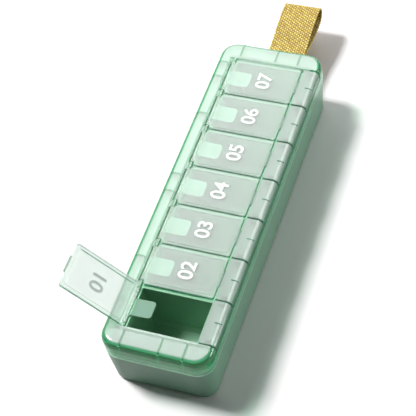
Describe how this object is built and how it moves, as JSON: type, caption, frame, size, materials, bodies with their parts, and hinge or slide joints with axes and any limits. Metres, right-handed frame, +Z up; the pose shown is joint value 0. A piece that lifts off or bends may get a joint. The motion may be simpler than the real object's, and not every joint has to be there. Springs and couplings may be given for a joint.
{
  "type": "weekly pill box",
  "caption": "Long rounded pill box with a row of compartments, each under a translucent spring-open lid released by its own rocker button, and a webbing loop at one end.",
  "frame": {"origin": "centre of the base's flat underside, under the middle of the compartment row", "axes": "+X along the row to the end with the webbing loop, -Y to the button side, +Z up"},
  "size_m": [0.247, 0.0763, 0.0618],
  "materials": {
    "base_plastic": "satin",
    "tray_plastic": "satin",
    "cover_plastic": "translucent gloss",
    "lid_plastic": "frosted translucent",
    "button_plastic": "translucent gloss",
    "spring_plastic": "satin",
    "webbing": "woven",
    "pin_steel": "drawn"
  },
  "bodies": {
    "box": {"base_case": "base_plastic", "inner_tray": "tray_plastic", "top_cover": "cover_plastic", "strap": "webbing", "strap_pin": "pin_steel", "button_leaf_1": "spring_plastic", "button_leaf_2": "spring_plastic", "button_leaf_3": "spring_plastic", "button_leaf_4": "spring_plastic", "button_leaf_5": "spring_plastic", "button_leaf_6": "spring_plastic", "button_leaf_7": "spring_plastic"},
    "lid_1": {"lid_1": "lid_plastic"},
    "lid_spring_1": {"lid_spring_1": "spring_plastic"},
    "button_1": {"button_1": "button_plastic"},
    "lid_2": {"lid_2": "lid_plastic"},
    "lid_spring_2": {"lid_spring_2": "spring_plastic"},
    "button_2": {"button_2": "button_plastic"},
    "lid_3": {"lid_3": "lid_plastic"},
    "lid_spring_3": {"lid_spring_3": "spring_plastic"},
    "button_3": {"button_3": "button_plastic"},
    "lid_4": {"lid_4": "lid_plastic"},
    "lid_spring_4": {"lid_spring_4": "spring_plastic"},
    "button_4": {"button_4": "button_plastic"},
    "lid_5": {"lid_5": "lid_plastic"},
    "lid_spring_5": {"lid_spring_5": "spring_plastic"},
    "button_5": {"button_5": "button_plastic"},
    "lid_6": {"lid_6": "lid_plastic"},
    "lid_spring_6": {"lid_spring_6": "spring_plastic"},
    "button_6": {"button_6": "button_plastic"},
    "lid_7": {"lid_7": "lid_plastic"},
    "lid_spring_7": {"lid_spring_7": "spring_plastic"},
    "button_7": {"button_7": "button_plastic"}
  },
  "joints": [
    {"name": "lid_1_hinge", "type": "hinge", "parent": "box", "child": "lid_1", "pos_m": [-0.075, 0.019, 0.035], "axis": [-1, 0, 0], "range_deg": [-137, 0]},
    {"name": "lid_spring_1_flex", "type": "hinge", "parent": "box", "child": "lid_spring_1", "pos_m": [-0.075, 0.02, 0.021], "axis": [-1, 0, 0], "range_deg": [-3, 0]},
    {"name": "button_1_press", "type": "hinge", "parent": "box", "child": "button_1", "pos_m": [-0.075, -0.0242, 0.0315], "axis": [1, 0, 0], "range_deg": [0, 10], "stiffness_Nm_per_rad": 0.04, "springref_deg": -2.86, "deforming": ["button_leaf_1"]},
    {"name": "lid_2_hinge", "type": "hinge", "parent": "box", "child": "lid_2", "pos_m": [-0.05, 0.019, 0.035], "axis": [-1, 0, 0], "range_deg": [0, 137]},
    {"name": "lid_spring_2_flex", "type": "hinge", "parent": "box", "child": "lid_spring_2", "pos_m": [-0.05, 0.02, 0.021], "axis": [-1, 0, 0], "range_deg": [0, 3]},
    {"name": "button_2_press", "type": "hinge", "parent": "box", "child": "button_2", "pos_m": [-0.05, -0.0242, 0.0315], "axis": [1, 0, 0], "range_deg": [0, 10], "stiffness_Nm_per_rad": 0.04, "springref_deg": -2.86, "deforming": ["button_leaf_2"]},
    {"name": "lid_3_hinge", "type": "hinge", "parent": "box", "child": "lid_3", "pos_m": [-0.025, 0.019, 0.035], "axis": [-1, 0, 0], "range_deg": [0, 137]},
    {"name": "lid_spring_3_flex", "type": "hinge", "parent": "box", "child": "lid_spring_3", "pos_m": [-0.025, 0.02, 0.021], "axis": [-1, 0, 0], "range_deg": [0, 3]},
    {"name": "button_3_press", "type": "hinge", "parent": "box", "child": "button_3", "pos_m": [-0.025, -0.0242, 0.0315], "axis": [1, 0, 0], "range_deg": [0, 10], "stiffness_Nm_per_rad": 0.04, "springref_deg": -2.86, "deforming": ["button_leaf_3"]},
    {"name": "lid_4_hinge", "type": "hinge", "parent": "box", "child": "lid_4", "pos_m": [0, 0.019, 0.035], "axis": [-1, 0, 0], "range_deg": [0, 137]},
    {"name": "lid_spring_4_flex", "type": "hinge", "parent": "box", "child": "lid_spring_4", "pos_m": [0, 0.02, 0.021], "axis": [-1, 0, 0], "range_deg": [0, 3]},
    {"name": "button_4_press", "type": "hinge", "parent": "box", "child": "button_4", "pos_m": [0, -0.0242, 0.0315], "axis": [1, 0, 0], "range_deg": [0, 10], "stiffness_Nm_per_rad": 0.04, "springref_deg": -2.86, "deforming": ["button_leaf_4"]},
    {"name": "lid_5_hinge", "type": "hinge", "parent": "box", "child": "lid_5", "pos_m": [0.025, 0.019, 0.035], "axis": [-1, 0, 0], "range_deg": [0, 137]},
    {"name": "lid_spring_5_flex", "type": "hinge", "parent": "box", "child": "lid_spring_5", "pos_m": [0.025, 0.02, 0.021], "axis": [-1, 0, 0], "range_deg": [0, 3]},
    {"name": "button_5_press", "type": "hinge", "parent": "box", "child": "button_5", "pos_m": [0.025, -0.0242, 0.0315], "axis": [1, 0, 0], "range_deg": [0, 10], "stiffness_Nm_per_rad": 0.04, "springref_deg": -2.86, "deforming": ["button_leaf_5"]},
    {"name": "lid_6_hinge", "type": "hinge", "parent": "box", "child": "lid_6", "pos_m": [0.05, 0.019, 0.035], "axis": [-1, 0, 0], "range_deg": [0, 137]},
    {"name": "lid_spring_6_flex", "type": "hinge", "parent": "box", "child": "lid_spring_6", "pos_m": [0.05, 0.02, 0.021], "axis": [-1, 0, 0], "range_deg": [0, 3]},
    {"name": "button_6_press", "type": "hinge", "parent": "box", "child": "button_6", "pos_m": [0.05, -0.0242, 0.0315], "axis": [1, 0, 0], "range_deg": [0, 10], "stiffness_Nm_per_rad": 0.04, "springref_deg": -2.86, "deforming": ["button_leaf_6"]},
    {"name": "lid_7_hinge", "type": "hinge", "parent": "box", "child": "lid_7", "pos_m": [0.075, 0.019, 0.035], "axis": [-1, 0, 0], "range_deg": [0, 137]},
    {"name": "lid_spring_7_flex", "type": "hinge", "parent": "box", "child": "lid_spring_7", "pos_m": [0.075, 0.02, 0.021], "axis": [-1, 0, 0], "range_deg": [0, 3]},
    {"name": "button_7_press", "type": "hinge", "parent": "box", "child": "button_7", "pos_m": [0.075, -0.0242, 0.0315], "axis": [1, 0, 0], "range_deg": [0, 10], "stiffness_Nm_per_rad": 0.04, "springref_deg": -2.86, "deforming": ["button_leaf_7"]}
  ],
  "couplings": [
    {"joint": "lid_spring_1_flex", "follows": "lid_1_hinge", "ratio": 0.021898},
    {"joint": "lid_spring_2_flex", "follows": "lid_2_hinge", "ratio": 0.021898},
    {"joint": "lid_spring_3_flex", "follows": "lid_3_hinge", "ratio": 0.021898},
    {"joint": "lid_spring_4_flex", "follows": "lid_4_hinge", "ratio": 0.021898},
    {"joint": "lid_spring_5_flex", "follows": "lid_5_hinge", "ratio": 0.021898},
    {"joint": "lid_spring_6_flex", "follows": "lid_6_hinge", "ratio": 0.021898},
    {"joint": "lid_spring_7_flex", "follows": "lid_7_hinge", "ratio": 0.021898}
  ]
}
